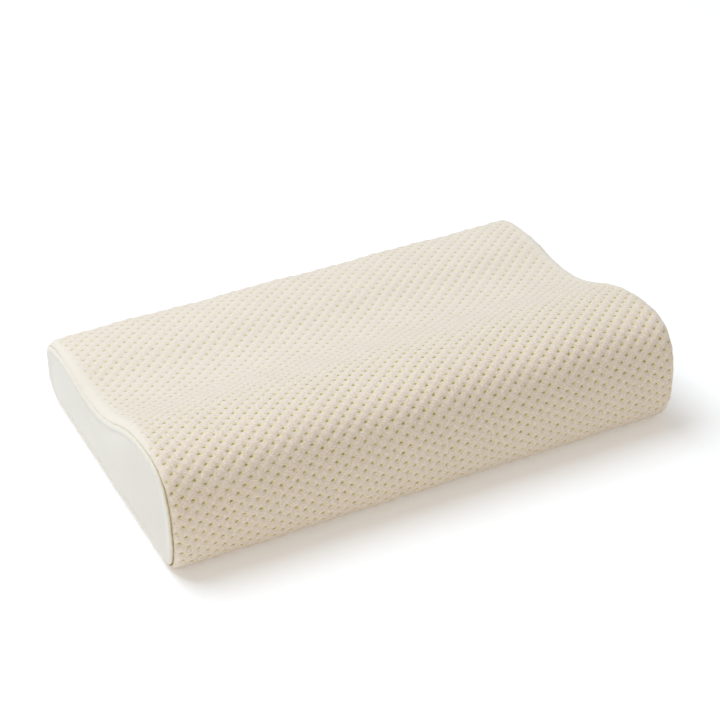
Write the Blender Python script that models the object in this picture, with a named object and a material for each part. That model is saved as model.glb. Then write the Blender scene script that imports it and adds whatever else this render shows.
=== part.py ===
"""Contour bed pillow: a moulded foam core in a sewn liner, inside a zipped knitted cover.

Metres, +Z up. X runs along the pillow. -Y is the tall front lobe and +Y the low back lobe,
whose face carries the zip. The underside rests on Z = 0, and the origin is the centre of the
underside of the whole object's box.
"""

from math import cos, hypot, radians, sin

import bmesh
import bpy
from mathutils import Vector

for old in list(bpy.data.objects):
    bpy.data.objects.remove(old, do_unlink=True)

# ---------------------------------------------------------------- overall sizes
LENGTH = 0.500
DEPTH = 0.310
FRONT_HEIGHT = 0.104
BACK_HEIGHT = 0.070
VALLEY_DIP = 0.004  # how far the neck valley lies below the back lobe

# ---------------------------------------------------------------- shape of the side outline
CREST_FROM_FRONT = 0.050
LOBE_FROM_BACK = 0.062
VALLEY_PLACE = 0.76  # share of the way from the front crest to the back lobe
FRONT_UPRIGHT = 0.035  # height at which the front face stands upright
FRONT_CORNER = 0.022
BACK_CORNER = 0.029
FRONT_FULLNESS = 0.72  # 0.55 is a quarter ellipse, and 1 is a square corner
BACK_FULLNESS = 0.72
CORNER_FULLNESS = 0.57
WAVE_FULLNESS = 0.47
ZIP_FLAT = 0.020  # upright band of the back face that the zip lies in
CORNER_STEPS = 5
FRONT_STEPS = 8
SLOPE_STEPS = 9
LOBE_STEPS = 4
BACK_STEPS = 8
BAND_STEPS = 4
SOLE_STEPS = 3
EVEN = 1 / 3  # fullness that spaces the points of a straight stretch evenly

# ---------------------------------------------------------------- ends
END_ROUND = 0.009  # the cover rounds over by this much at each end
END_CROWN = 0.003  # how far each end panel bulges
SEAM_ANGLE = radians(56)  # how far round the end the cover's wrap reaches
SEAM_SPLIT = radians(2)  # angle between the wrap's edge and the end panel's
NECK_ANGLE = radians(6)  # angle over which the end panel turns in under the wrap
ALLOWANCE = 0.006  # straight part of the end panel's turned-in seam allowance
END_STEPS = 2
CROWN_PLACE = 0.45  # where an end panel's crown has its middle, as a share of the way from front to back

# ---------------------------------------------------------------- layers and fits
GAP = 0.0003  # between pieces that lie against each other
COVER_KNIT = 0.0020
END_KNIT = 0.0020
ALLOWANCE_KNIT = 0.0009
LINER_KNIT = 0.0008
THREAD_RADIUS = 0.00035
THREAD_SIDES = 6

# ---------------------------------------------------------------- zip
TAPE_THICK = 0.0006
TAPE_WIDTH = 0.014
TAPE_TAIL = 0.008
TAPE_TO_ALLOWANCE = 0.004
COIL_WIDTH = 0.0029
COIL_HEIGHT = 0.0022
COIL_SPLIT = 0.0012  # between the two rows of coil
COIL_ROUND = 0.0008
STOP_LENGTH = 0.0025
STOP_ROUND = 0.0003
SLOT_SIDE_CLEAR = 0.0008  # between the slider and the edges of the slot
SLOT_END_CLEAR = 0.006
SLOT_ROUND = 0.0033
STITCH_FROM_SLOT = 0.003
STITCH_OVERRUN = 0.003

SLIDER_LENGTH = 0.0125
SLIDER_PLATE = 0.0010
SLIDER_BASE = 0.0008
SLIDER_FLANGE = 0.0009
SLIDER_CORNER = 0.0020
CORNER_TRIM = 0.0001  # how far the cutter that rounds the corners stands outside the slider
BAIL_THICK = 0.0010
BAIL_WIDTH = 0.0024
BAIL_SINK = 0.0004
PULL_THICK = 0.0012
PULL_WIDTH = 0.0070
PULL_LENGTH = 0.026
PULL_CORNER = 0.0005
EYE_CORNER = 0.0004

# ---------------------------------------------------------------- care label
LABEL_WIDTH = 0.025
LABEL_DROP = 0.028
LABEL_THICK = 0.0006
LABEL_FROM_BACK = 0.045
LABEL_CLEAR = radians(8)  # angle between the seam and the top of the label
LABEL_COLUMNS = 4
LABEL_ROLL_STEPS = 2
LABEL_HANG_STEPS = 3

# ---------------------------------------------------------------- depths in from the cover's face
TAPE_DEPTH = COVER_KNIT + GAP
BASE_DEPTH = TAPE_DEPTH + TAPE_THICK + GAP
LINER_DEPTH = BASE_DEPTH + SLIDER_BASE + GAP
FOAM_DEPTH = LINER_DEPTH + LINER_KNIT + GAP

# ---------------------------------------------------------------- heights out from the cover's face
COIL_TOP = COIL_HEIGHT + GAP - TAPE_DEPTH
PLATE_UNDER = COIL_TOP + GAP
PLATE_TOP = PLATE_UNDER + SLIDER_PLATE
PIN_SWEEP = hypot(PULL_THICK, PULL_THICK) / 2 + GAP  # room the pull's end bar turns in
PIN_HEIGHT = PLATE_TOP + PIN_SWEEP
BAIL_UNDER = PIN_HEIGHT + PIN_SWEEP
BAIL_TOP = BAIL_UNDER + BAIL_THICK
BAIL_HALF = PIN_SWEEP + GAP + BAIL_THICK

# ---------------------------------------------------------------- widths across the zip
COIL_EDGE = COIL_SPLIT / 2 + COIL_WIDTH
SLIDER_INNER = COIL_EDGE + GAP
SLIDER_HALF = SLIDER_INNER + SLIDER_FLANGE
SLIDER_WEB = COIL_SPLIT - 2 * GAP
SLOT_HALF = SLIDER_HALF + SLOT_SIDE_CLEAR

# ---------------------------------------------------------------- places
Y_FRONT = -(DEPTH + BAIL_TOP) / 2
Y_BACK = Y_FRONT + DEPTH
ZIP_Z = BACK_HEIGHT / 2
ARC_X = LENGTH / 2 - END_CROWN - END_ROUND  # where the end rounding starts
ALLOWANCE_X = ARC_X - ALLOWANCE
TAPE_X = ALLOWANCE_X - TAPE_TO_ALLOWANCE
ZIP_X = TAPE_X - TAPE_TAIL
SLOT_X = ZIP_X + SLOT_END_CLEAR
SLIDER_X = -ZIP_X + GAP + SLIDER_LENGTH / 2
CAP_CENTRE = Vector((Y_FRONT + CROWN_PLACE * DEPTH, BACK_HEIGHT / 2))
CAP_SHARES = (0.82, 0.50)  # rings of an end panel, as shares of its outline


def material(name, colour, roughness, metallic=0.0):
    made = bpy.data.materials.new(name)
    made.use_nodes = True
    shader = made.node_tree.nodes["Principled BSDF"]
    shader.inputs["Base Color"].default_value = (*colour, 1.0)
    shader.inputs["Roughness"].default_value = roughness
    shader.inputs["Metallic"].default_value = metallic
    return made


FOAM = material("foam", (0.93, 0.89, 0.74), 0.95)
LINER = material("liner_tricot", (0.93, 0.93, 0.92), 0.85)
WRAP_KNIT = material("dotted_knit", (0.78, 0.70, 0.60), 0.90)
PLAIN_KNIT = material("plain_knit", (0.83, 0.81, 0.77), 0.90)
THREAD = material("gold_thread", (0.52, 0.46, 0.24), 0.70)
STITCH = material("cream_thread", (0.84, 0.79, 0.68), 0.70)
TAPE = material("zip_tape", (0.84, 0.81, 0.75), 0.80)
NYLON = material("zip_nylon", (0.86, 0.83, 0.77), 0.45)
ENAMEL = material("slider_enamel", (0.84, 0.81, 0.75), 0.35)
LABEL = material("label_satin", (0.92, 0.92, 0.90), 0.55)


def make_object(name, mesh_data, finish, origin=(0, 0, 0)):
    """Turns a bmesh in world coordinates into a smooth-shaded object with the given origin."""
    bmesh.ops.recalc_face_normals(mesh_data, faces=mesh_data.faces)
    bmesh.ops.translate(mesh_data, vec=-Vector(origin), verts=mesh_data.verts)
    mesh = bpy.data.meshes.new(name)
    mesh_data.to_mesh(mesh)
    mesh_data.free()
    mesh.shade_smooth()
    mesh.set_sharp_from_angle(angle=radians(40))
    mesh.materials.append(finish)
    made = bpy.data.objects.new(name, mesh)
    made.location = origin
    bpy.context.scene.collection.objects.link(made)
    return made


def boolean(target, operation, helper):
    """Cuts, joins or intersects target with a helper object, which is hidden."""
    helper.hide_render = True
    helper.display_type = "WIRE"
    modifier = target.modifiers.new(helper.name, "BOOLEAN")
    modifier.operation = operation
    modifier.solver = "EXACT"
    modifier.object = helper


def span(start, end, fullness, steps):
    """Points of a cubic from start towards end. A knot is (y, z, "along" or "up")."""
    dy = end[0] - start[0]
    dz = end[1] - start[1]
    reach = {"along": Vector((dy, 0)) * fullness, "up": Vector((0, dz)) * fullness}
    a = Vector(start[:2])
    d = Vector(end[:2])
    b = a + reach[start[2]]
    c = d - reach[end[2]]
    points = []
    for i in range(steps):
        t = i / steps
        u = 1 - t
        points.append(a * u**3 + b * 3 * t * u * u + c * 3 * t * t * u + d * t**3)
    return points


def side_outline():
    """The pillow's outline in the YZ plane, from the front of the underside up over the top."""
    crest_y = Y_FRONT + CREST_FROM_FRONT
    lobe_y = Y_BACK - LOBE_FROM_BACK
    valley_y = crest_y + VALLEY_PLACE * (lobe_y - crest_y)
    sole_front = (Y_FRONT + FRONT_CORNER, 0, "along")
    front = (Y_FRONT, FRONT_UPRIGHT, "up")
    crest = (crest_y, FRONT_HEIGHT, "along")
    valley = (valley_y, BACK_HEIGHT - VALLEY_DIP, "along")
    lobe = (lobe_y, BACK_HEIGHT, "along")
    band_top = (Y_BACK, ZIP_Z + ZIP_FLAT / 2, "up")
    band_foot = (Y_BACK, ZIP_Z - ZIP_FLAT / 2, "up")
    sole_back = (Y_BACK - BACK_CORNER, 0, "along")
    return (
        span(sole_front, front, CORNER_FULLNESS, CORNER_STEPS)
        + span(front, crest, FRONT_FULLNESS, FRONT_STEPS)
        + span(crest, valley, WAVE_FULLNESS, SLOPE_STEPS)
        + span(valley, lobe, WAVE_FULLNESS, LOBE_STEPS)
        + span(lobe, band_top, BACK_FULLNESS, BACK_STEPS)
        + span(band_top, band_foot, EVEN, BAND_STEPS)
        + span(band_foot, sole_back, CORNER_FULLNESS, CORNER_STEPS)
        + span(sole_back, sole_front, EVEN, SOLE_STEPS)
    )


OUTLINE = side_outline()
COUNT = len(OUTLINE)
STEPS_TO_BAND = CORNER_STEPS + FRONT_STEPS + SLOPE_STEPS + LOBE_STEPS + BACK_STEPS
BAND_CENTRE = STEPS_TO_BAND + BAND_STEPS // 2  # the outline's point at the middle of the zip


def inward(i):
    """The step in from outline point i that moves both its sides in by one metre."""
    before = (OUTLINE[i] - OUTLINE[i - 1]).normalized()
    after = (OUTLINE[(i + 1) % COUNT] - OUTLINE[i]).normalized()
    first = Vector((before.y, -before.x))
    second = Vector((after.y, -after.x))
    return (first + second) / (1 + first.dot(second))


INWARD = [inward(i) for i in range(COUNT)]


def inset(depth):
    return [point + step * depth for point, step in zip(OUTLINE, INWARD)]


def ring(x, depth):
    """The outline taken in by depth, as 3D points at x."""
    return [Vector((x, p.x, p.y)) for p in inset(depth)]


def end_arc(depth, first, last, steps):
    """(x, inset) pairs round the +X end, on the layer that lies this deep in the cover."""
    radius = END_ROUND - depth
    angles = [first + (last - first) * i / steps for i in range(steps + 1)]
    return [(ARC_X + radius * sin(a), END_ROUND - radius * cos(a)) for a in angles]


def both_ends(pairs):
    """Continues the +X half of a section to the -X end, from end to end."""
    return [(-x, depth) for x, depth in reversed(pairs)] + pairs


def crown(share):
    return END_CROWN * (1 - share * share)


def cap(depth, rim):
    """Rings from an end's rim inset to near its centre, and the centre, on the layer at depth."""
    face = ARC_X + END_ROUND - depth
    rings = []
    for share in CAP_SHARES:
        scaled = [CAP_CENTRE + (p - CAP_CENTRE) * share for p in inset(rim)]
        rings.append([Vector((face + crown(share), p.x, p.y)) for p in scaled])
    return rings, Vector((face + crown(0), CAP_CENTRE.x, CAP_CENTRE.y))


def loft(name, rings, finish, tips=None):
    """A closed body through rings. With tips it ends in two points, and without it is a sleeve."""
    made = bmesh.new()
    loops = [[made.verts.new(p) for p in points] for points in rings]
    pairs = list(zip(loops, loops[1:]))
    if tips is None:
        pairs.append((loops[-1], loops[0]))
    for a, b in pairs:
        for i in range(COUNT):
            j = (i + 1) % COUNT
            made.faces.new((a[i], a[j], b[j], b[i]))
    if tips is not None:
        for tip, loop in zip(tips, (loops[0], loops[-1])):
            point = made.verts.new(tip)
            for i in range(COUNT):
                made.faces.new((point, loop[i], loop[(i + 1) % COUNT]))
    return make_object(name, made, finish)


def sleeve(name, section, finish):
    return loft(name, [ring(x, depth) for x, depth in section], finish)


def mirrored(points, side):
    return [Vector((p.x * side, p.y, p.z)) for p in points]


def prism(name, outline, axis, low, high, finish, origin=(0, 0, 0)):
    """A flat outline carried along X, Y or Z. Its points are the other two axes, in XYZ order."""
    made = bmesh.new()
    ends = []
    for value in (low, high):
        points = []
        for first, second in outline:
            place = [first, second]
            place.insert("XYZ".index(axis), value)
            points.append(made.verts.new(place))
        ends.append(points)
    made.faces.new(ends[0])
    made.faces.new(ends[1])
    for i in range(len(outline)):
        j = (i + 1) % len(outline)
        made.faces.new((ends[0][i], ends[0][j], ends[1][j], ends[1][i]))
    return make_object(name, made, finish, origin)


def arc(centre, radius, first, last, steps):
    """Points of a circular arc, with its angles in degrees."""
    angles = [radians(first + (last - first) * i / steps) for i in range(steps + 1)]
    return [(centre[0] + radius * cos(a), centre[1] + radius * sin(a)) for a in angles]


def rounded_rectangle(x, y, half_x, half_y, radius, steps=3):
    corners = (
        (x + half_x - radius, y + half_y - radius, 0),
        (x - half_x + radius, y + half_y - radius, 90),
        (x - half_x + radius, y - half_y + radius, 180),
        (x + half_x - radius, y - half_y + radius, 270),
    )
    points = []
    for cx, cy, turn in corners:
        points += arc((cx, cy), radius, turn, turn + 90, steps)
    return points


def circle(x, y, radius, steps):
    return arc((x, y), radius, 0, 360, steps)[:-1]


# ---------------------------------------------------------------- core and liner
def make_foam_core():
    arcs = end_arc(FOAM_DEPTH, 0, radians(90), END_STEPS)
    body = [ring(x, depth) for x, depth in both_ends(arcs)]
    rings, tip = cap(FOAM_DEPTH, END_ROUND)
    left = [mirrored(points, -1) for points in reversed(rings)]
    tips = (mirrored([tip], -1)[0], tip)
    loft("foam_core", left + body + rings, FOAM, tips)


def make_liner():
    outer = both_ends(end_arc(LINER_DEPTH, 0, radians(90), END_STEPS))
    inner = both_ends(end_arc(LINER_DEPTH + LINER_KNIT, 0, radians(90), END_STEPS))
    sleeve("liner_wrap", outer + inner[::-1], LINER)
    rim = END_ROUND + GAP
    for name, side in (("liner_end_left", -1), ("liner_end_right", 1)):
        rings = []
        tips = []
        for depth in (LINER_DEPTH, LINER_DEPTH + LINER_KNIT):
            edge = ring(ARC_X + END_ROUND - depth, rim)
            inside, tip = cap(depth, rim)
            rings.append([edge] + inside)
            tips.append(mirrored([tip], side)[0])
        path = rings[0][::-1] + rings[1]
        loft(name, [mirrored(points, side) for points in path], LINER, tips)


# ---------------------------------------------------------------- cover
def make_cover_wrap():
    outer = both_ends(end_arc(0, 0, SEAM_ANGLE, END_STEPS))
    inner = both_ends(end_arc(COVER_KNIT, 0, SEAM_ANGLE, END_STEPS))
    wrap = sleeve("cover_wrap", outer + inner[::-1], WRAP_KNIT)
    slot = rounded_rectangle(0, ZIP_Z, SLOT_X, SLOT_HALF, SLOT_ROUND, 2)
    cutter = prism("zip_slot", slot, "Y", Y_BACK - 2 * COVER_KNIT, Y_BACK + COVER_KNIT, WRAP_KNIT)
    boolean(wrap, "DIFFERENCE", cutter)


def make_cover_end(name, side):
    """The plain end panel, with the seam allowance that is turned in under the wrap."""
    under = COVER_KNIT + GAP
    inside = under + ALLOWANCE_KNIT
    edge = SEAM_ANGLE + SEAM_SPLIT
    outer_rings, outer_tip = cap(0, END_ROUND)
    inner_rings, inner_tip = cap(END_KNIT, END_ROUND)
    section = end_arc(0, radians(90), edge, 1)
    section += end_arc(under, edge, 0, END_STEPS)
    section += [(ALLOWANCE_X, under), (ALLOWANCE_X, inside)]
    section += end_arc(inside, 0, edge + NECK_ANGLE, END_STEPS)
    section += end_arc(END_KNIT, edge + NECK_ANGLE, radians(90), 1)
    rings = outer_rings[::-1] + [ring(x, depth) for x, depth in section] + inner_rings
    tips = mirrored([outer_tip, inner_tip], side)
    loft(name, [mirrored(points, side) for points in rings], PLAIN_KNIT, tips)


def make_seam_thread(name, side):
    """The line of thread that lies in the groove between the wrap and an end panel."""
    turn = SEAM_ANGLE + SEAM_SPLIT / 2
    out = END_ROUND + GAP + THREAD_RADIUS
    section = circle(ARC_X + out * sin(turn), END_ROUND - out * cos(turn), THREAD_RADIUS, THREAD_SIDES)
    sleeve(name, [(side * x, depth) for x, depth in section], THREAD)


# ---------------------------------------------------------------- zip
def strip_section(first, last, top, foot):
    """The YZ section of a strip that follows the back face between two heights from the zip."""
    upper = inset(top)
    lower = inset(foot)
    up = 1 if last > 0 else -1
    reached = 0
    i = BAND_CENTRE
    walk = []
    while abs(reached) < abs(last):
        j = i - up
        stride = (OUTLINE[j] - OUTLINE[i]).length
        for target in (abs(first), abs(last)):
            if reached <= target < reached + stride:
                share = (target - reached) / stride
                walk.append((upper[i].lerp(upper[j], share), lower[i].lerp(lower[j], share)))
        reached += stride
        i = j
        if abs(first) < reached < abs(last):
            walk.append((upper[i], lower[i]))
    return [tuple(pair[0]) for pair in walk] + [tuple(pair[1]) for pair in reversed(walk)]


def make_tapes_and_coils():
    half_split = COIL_SPLIT / 2
    for row, up in (("upper", 1), ("lower", -1)):
        section = strip_section(up * half_split, up * TAPE_WIDTH, TAPE_DEPTH, TAPE_DEPTH + TAPE_THICK)
        prism("zip_tape_" + row, section, "X", -TAPE_X, TAPE_X, TAPE)
        centre_z = ZIP_Z + up * (half_split + COIL_WIDTH / 2)
        centre_y = Y_BACK + COIL_TOP - COIL_HEIGHT / 2
        coil = rounded_rectangle(centre_y, centre_z, COIL_HEIGHT / 2, COIL_WIDTH / 2, COIL_ROUND, 2)
        prism("zip_coil_" + row, coil, "X", -ZIP_X, ZIP_X, NYLON)
        stop = rounded_rectangle(centre_y, centre_z, COIL_HEIGHT / 2, COIL_WIDTH / 2, STOP_ROUND, 1)
        prism("zip_top_stop_" + row, stop, "X", -ZIP_X - GAP - STOP_LENGTH, -ZIP_X - GAP, NYLON)
    box = rounded_rectangle(centre_y, ZIP_Z, COIL_HEIGHT / 2, COIL_EDGE, STOP_ROUND, 1)
    prism("zip_bottom_stop", box, "X", ZIP_X + GAP, ZIP_X + GAP + STOP_LENGTH, NYLON)


def make_zip_stitches():
    """A row of stitching above and below the slot, which holds the cover to the tapes."""
    y = Y_BACK + GAP + THREAD_RADIUS
    for row, up in (("upper", 1), ("lower", -1)):
        z = ZIP_Z + up * (SLOT_HALF + STITCH_FROM_SLOT)
        section = circle(y, z, THREAD_RADIUS, THREAD_SIDES)
        prism("zip_stitch_" + row, section, "X", -SLOT_X - STITCH_OVERRUN, SLOT_X + STITCH_OVERRUN, STITCH)


def make_slider():
    """Two plates round the coils, joined by a thin web between the rows, with a bail on top."""
    origin = (SLIDER_X, Y_BACK, ZIP_Z)
    web = SLIDER_WEB / 2
    flange_foot = GAP - TAPE_DEPTH
    base_top = -BASE_DEPTH
    base_foot = base_top - SLIDER_BASE
    right = [
        (PLATE_TOP, SLIDER_HALF),
        (flange_foot, SLIDER_HALF),
        (flange_foot, SLIDER_INNER),
        (PLATE_UNDER, SLIDER_INNER),
        (PLATE_UNDER, web),
        (base_top, web),
        (base_top, SLIDER_HALF),
        (base_foot, SLIDER_HALF),
    ]
    left = [(out, -across) for out, across in reversed(right)]
    section = [(Y_BACK + out, ZIP_Z + across) for out, across in right + left]
    low = SLIDER_X - SLIDER_LENGTH / 2
    slider = prism("zip_slider", section, "X", low, low + SLIDER_LENGTH, ENAMEL, origin)
    plan_x = SLIDER_LENGTH / 2 + CORNER_TRIM
    plan = rounded_rectangle(SLIDER_X, ZIP_Z, plan_x, SLIDER_HALF + CORNER_TRIM, SLIDER_CORNER)
    shape = prism("slider_plan", plan, "Y", Y_BACK + base_foot - GAP, Y_BACK + PLATE_TOP + GAP, ENAMEL)
    boolean(slider, "INTERSECT", shape)
    shoulder = BAIL_HALF - BAIL_THICK
    foot = PLATE_TOP - BAIL_SINK
    half_arch = [(shoulder, BAIL_UNDER), (shoulder, foot), (BAIL_HALF, foot)]
    half_arch += arc((shoulder, BAIL_TOP - BAIL_THICK), BAIL_THICK, 0, 90, 3)
    arch = half_arch + [(-along, out) for along, out in reversed(half_arch)]
    arch = [(SLIDER_X + along, Y_BACK + out) for along, out in arch]
    bail = prism("slider_bail", arch, "Z", ZIP_Z - BAIL_WIDTH / 2, ZIP_Z + BAIL_WIDTH / 2, ENAMEL)
    boolean(slider, "UNION", bail)


def make_pull():
    """The tab, lying along the closed zip. The end bar of its eye turns under the bail."""
    origin = (SLIDER_X, Y_BACK + PIN_HEIGHT, ZIP_Z)
    bar = PULL_THICK / 2
    eye_end = hypot(BAIL_HALF, BAIL_TOP - PIN_HEIGHT) + GAP
    eye_half = BAIL_WIDTH / 2 + GAP
    middle = SLIDER_X + (PULL_LENGTH - bar) / 2
    tab = rounded_rectangle(middle, ZIP_Z, (PULL_LENGTH + bar) / 2, PULL_WIDTH / 2, PULL_CORNER, 2)
    low = Y_BACK + PIN_HEIGHT - bar
    pull = prism("zip_pull", tab, "Y", low, low + PULL_THICK, ENAMEL, origin)
    eye_centre = SLIDER_X + (bar + eye_end) / 2
    eye = rounded_rectangle(eye_centre, ZIP_Z, (eye_end - bar) / 2, eye_half, EYE_CORNER, 2)
    cutter = prism("pull_eye", eye, "Y", low - PULL_THICK, low + 2 * PULL_THICK, ENAMEL)
    boolean(pull, "DIFFERENCE", cutter)


# ---------------------------------------------------------------- care label
def top_height(y):
    """Height of the outline's top at y."""
    for a, b in zip(OUTLINE, OUTLINE[1:]):
        if a.x <= y < b.x:
            return a.y + (b.y - a.y) * (y - a.x) / (b.x - a.x)
    return BACK_HEIGHT


def cap_share(y, z):
    """How far out a point of an end panel lies, from 0 at its centre to 1 at its rim."""
    rim = inset(END_ROUND)
    ray = Vector((y, z)) - CAP_CENTRE
    for a, b in zip(rim, rim[1:] + rim[:1]):
        side = b - a
        cross = ray.x * side.y - ray.y * side.x
        if abs(cross) < 1e-12:
            continue
        start = a - CAP_CENTRE
        out = (start.x * side.y - start.y * side.x) / cross
        along = (start.x * ray.y - start.y * ray.x) / cross
        if out > 0 and 0 <= along <= 1:
            return min(1.0, 1 / out)
    return 1.0


def make_care_label():
    """A blank folded ribbon that hangs from the right end seam, over the plain end panel."""
    columns = LABEL_COLUMNS
    middle = Y_BACK - LABEL_FROM_BACK
    first = SEAM_ANGLE + SEAM_SPLIT + LABEL_CLEAR
    turns = [first + (radians(90) - first) * i / LABEL_ROLL_STEPS for i in range(LABEL_ROLL_STEPS + 1)]
    grids = []
    for lift in (GAP, GAP + LABEL_THICK):
        radius = END_ROUND + lift
        grid = []
        for i in range(columns + 1):
            y = middle + LABEL_WIDTH * (i / columns - 0.5)
            top = top_height(y)
            column = []
            for turn in turns:
                drop = END_ROUND - radius * cos(turn)
                column.append(Vector((ARC_X + radius * sin(turn), y, top - drop)))
            for step in range(1, LABEL_HANG_STEPS + 1):
                z = top - END_ROUND - (LABEL_DROP - END_ROUND) * step / LABEL_HANG_STEPS
                column.append(Vector((ARC_X + radius + crown(cap_share(y, z)), y, z)))
            grid.append(column)
        grids.append(grid)
    made = bmesh.new()
    sheets = [[[made.verts.new(p) for p in column] for column in grid] for grid in grids]
    rows = len(grids[0][0])
    for sheet in sheets:
        for i in range(columns):
            for j in range(rows - 1):
                made.faces.new((sheet[i][j], sheet[i + 1][j], sheet[i + 1][j + 1], sheet[i][j + 1]))
    edge = [(i, 0) for i in range(columns)] + [(columns, j) for j in range(rows - 1)]
    edge += [(i, rows - 1) for i in range(columns, 0, -1)] + [(0, j) for j in range(rows - 1, 0, -1)]
    for (a, b), (c, d) in zip(edge, edge[1:] + edge[:1]):
        made.faces.new((sheets[0][a][b], sheets[0][c][d], sheets[1][c][d], sheets[1][a][b]))
    make_object("care_label", made, LABEL)


make_foam_core()
make_liner()
make_cover_wrap()
make_cover_end("cover_end_left", -1)
make_cover_end("cover_end_right", 1)
make_seam_thread("seam_thread_left", -1)
make_seam_thread("seam_thread_right", 1)
make_tapes_and_coils()
make_zip_stitches()
make_slider()
make_pull()
make_care_label()
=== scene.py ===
from math import cos, pi, radians, sin

import bmesh
import bpy
import numpy as np
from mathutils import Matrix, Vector
from mathutils.bvhtree import BVHTree


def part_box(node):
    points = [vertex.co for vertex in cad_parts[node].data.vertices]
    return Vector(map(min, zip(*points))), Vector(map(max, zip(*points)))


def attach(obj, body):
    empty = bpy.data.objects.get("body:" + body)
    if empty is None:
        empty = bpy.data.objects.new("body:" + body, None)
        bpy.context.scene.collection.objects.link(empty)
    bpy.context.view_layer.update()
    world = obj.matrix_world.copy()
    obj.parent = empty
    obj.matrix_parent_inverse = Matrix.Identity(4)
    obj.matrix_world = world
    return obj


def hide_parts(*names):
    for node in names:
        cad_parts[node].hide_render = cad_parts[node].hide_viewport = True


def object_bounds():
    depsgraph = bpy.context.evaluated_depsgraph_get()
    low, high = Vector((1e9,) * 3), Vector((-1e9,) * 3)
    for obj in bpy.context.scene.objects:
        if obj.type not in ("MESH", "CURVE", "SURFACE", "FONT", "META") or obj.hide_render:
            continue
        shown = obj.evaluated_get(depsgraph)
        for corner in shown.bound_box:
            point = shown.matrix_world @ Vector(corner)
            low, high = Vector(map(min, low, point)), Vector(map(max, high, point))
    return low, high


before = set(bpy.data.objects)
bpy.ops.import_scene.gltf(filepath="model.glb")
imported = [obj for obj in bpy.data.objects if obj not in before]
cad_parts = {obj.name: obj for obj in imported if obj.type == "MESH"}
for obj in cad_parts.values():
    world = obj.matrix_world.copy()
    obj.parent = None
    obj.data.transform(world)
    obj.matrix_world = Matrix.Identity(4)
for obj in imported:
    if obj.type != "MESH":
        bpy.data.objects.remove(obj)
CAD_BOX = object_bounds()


# ------------------------------------------------------------------ foam core
# One block of slow-recovery foam, cast in a closed mould. Its tall front lobe, neck valley and low
# back lobe give the whole pillow its shape, and a smooth skin closes the foam's cells.
WRAP_LOW, WRAP_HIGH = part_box("cover_wrap")
ZIP_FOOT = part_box("zip_coil_lower")[0]
ZIP_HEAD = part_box("zip_coil_upper")[1]
FRONT_Y = WRAP_LOW.y
BACK_Y = WRAP_HIGH.y
TOP_Z = WRAP_HIGH.z
ZIP_Z = (ZIP_FOOT.z + ZIP_HEAD.z) / 2
LOBE_Z = 2 * ZIP_Z  # the zip runs half way up the low back lobe
VALLEY_DIP = 0.004  # below the back lobe
CREST_FROM_FRONT = 0.050
LOBE_FROM_BACK = 0.062
VALLEY_PLACE = 0.76  # share of the way from the crest to the back lobe
FRONT_UPRIGHT = 0.035  # height at which the front face stands upright
FRONT_CORNER = 0.022
BACK_CORNER = 0.029
FRONT_FULLNESS = 0.72  # the four fullnesses are how square each curve is, from 0 to 1
CORNER_FULLNESS = 0.57
WAVE_FULLNESS = 0.47
STRAIGHT = 1 / 3
BAND_HALF = 0.010  # half height of the upright band that carries the zip
STRETCH_STEPS = 60

END_ROUND = 0.009
END_CROWN = 0.003  # how far an end panel bulges at its middle
ROUND_X = CAD_BOX[1].x - END_CROWN - END_ROUND  # where the end rounding starts
RIM_REACH = ROUND_X + END_ROUND * pi / 2  # where it ends, measured along the skin
PANEL_REACH = 0.1
CROWN_Y = FRONT_Y + 0.45 * (BACK_Y - FRONT_Y)
CROWN_Z = ZIP_Z
FOAM_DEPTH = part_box("foam_core")[0].z
WELD = 1e-6  # points closer than this are one


def stretch(start, end, fullness):
    """Points of a smooth curve from start towards end. A knot is (y, z, "along" or "up")."""
    t = np.linspace(0, 1, STRETCH_STEPS, endpoint=False)[:, None]
    a, d = np.array(start[:2]), np.array(end[:2])
    reach = {"along": (d - a) * (fullness, 0), "up": (d - a) * (0, fullness)}
    b, c = a + reach[start[2]], d - reach[end[2]]
    return a * (1 - t) ** 3 + b * 3 * t * (1 - t) ** 2 + c * 3 * t * t * (1 - t) + d * t**3


def side_outline():
    """The cover's outline from the side: from the zip down the back, under, up the front and over."""
    crest_y, lobe_y = FRONT_Y + CREST_FROM_FRONT, BACK_Y - LOBE_FROM_BACK
    valley_y = crest_y + VALLEY_PLACE * (lobe_y - crest_y)
    zip_knot = (BACK_Y, ZIP_Z, "up")
    band_foot = (BACK_Y, ZIP_Z - BAND_HALF, "up")
    sole_back = (BACK_Y - BACK_CORNER, 0, "along")
    sole_front = (FRONT_Y + FRONT_CORNER, 0, "along")
    front = (FRONT_Y, FRONT_UPRIGHT, "up")
    crest = (crest_y, TOP_Z, "along")
    valley = (valley_y, LOBE_Z - VALLEY_DIP, "along")
    lobe = (lobe_y, LOBE_Z, "along")
    band_top = (BACK_Y, ZIP_Z + BAND_HALF, "up")
    return np.concatenate([
        stretch(zip_knot, band_foot, STRAIGHT),
        stretch(band_foot, sole_back, CORNER_FULLNESS),
        stretch(sole_back, sole_front, STRAIGHT),
        stretch(sole_front, front, CORNER_FULLNESS),
        stretch(front, crest, FRONT_FULLNESS),
        stretch(crest, valley, WAVE_FULLNESS),
        stretch(valley, lobe, WAVE_FULLNESS),
        stretch(lobe, band_top, FRONT_FULLNESS),
        stretch(band_top, zip_knot, STRAIGHT),
        [zip_knot[:2]],
    ])


OUTLINE = side_outline()
ALONG = np.concatenate([[0], np.cumsum(np.linalg.norm(np.diff(OUTLINE, axis=0), axis=1))])
GIRTH = ALONG[-1]
HEADING = np.gradient(OUTLINE, ALONG, axis=0)
KNOT_S = {name: ALONG[i * STRETCH_STEPS] for i, name in enumerate(
    ("zip", "band_foot", "sole_back", "sole_front", "front", "crest", "valley", "lobe", "band_top"))}


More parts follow.
